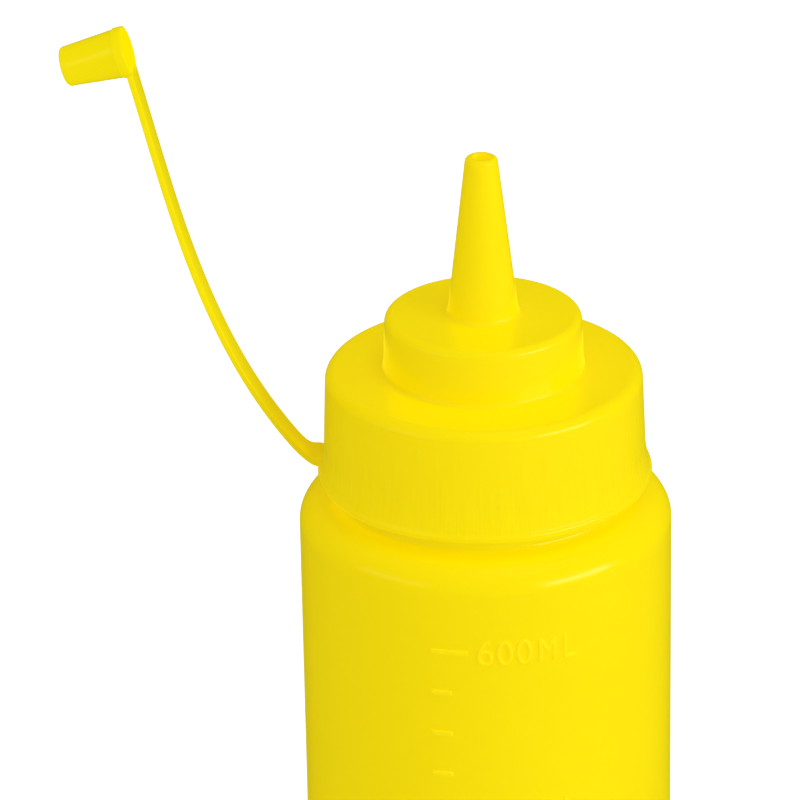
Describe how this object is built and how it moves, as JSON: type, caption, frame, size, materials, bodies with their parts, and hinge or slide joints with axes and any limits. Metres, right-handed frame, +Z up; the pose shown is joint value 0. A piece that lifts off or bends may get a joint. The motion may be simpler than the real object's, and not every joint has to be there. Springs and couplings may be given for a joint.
{
  "type": "sauce dispenser bottle",
  "caption": "Round squeeze bottle for sauce with a raised volume scale, a stepped screw cap, a tapered pouring nozzle and a tip cap on a curved strap.",
  "frame": {"origin": "centre of the flat base, on the surface that the bottle stands on", "axes": "+Z up along the bottle's axis, -Y towards the raised scale, -X towards the side where the strap leaves the cap"},
  "size_m": [0.1038, 0.0653, 0.2912],
  "materials": {
    "bottle_plastic": "smooth yellow polyethylene, soft shine",
    "cap_plastic": "smooth yellow polyethylene, soft shine, faint upright moulding lines on the skirt"
  },
  "bodies": {
    "root": {"bottle": "bottle_plastic", "cap": "cap_plastic"}
  },
  "joints": []
}
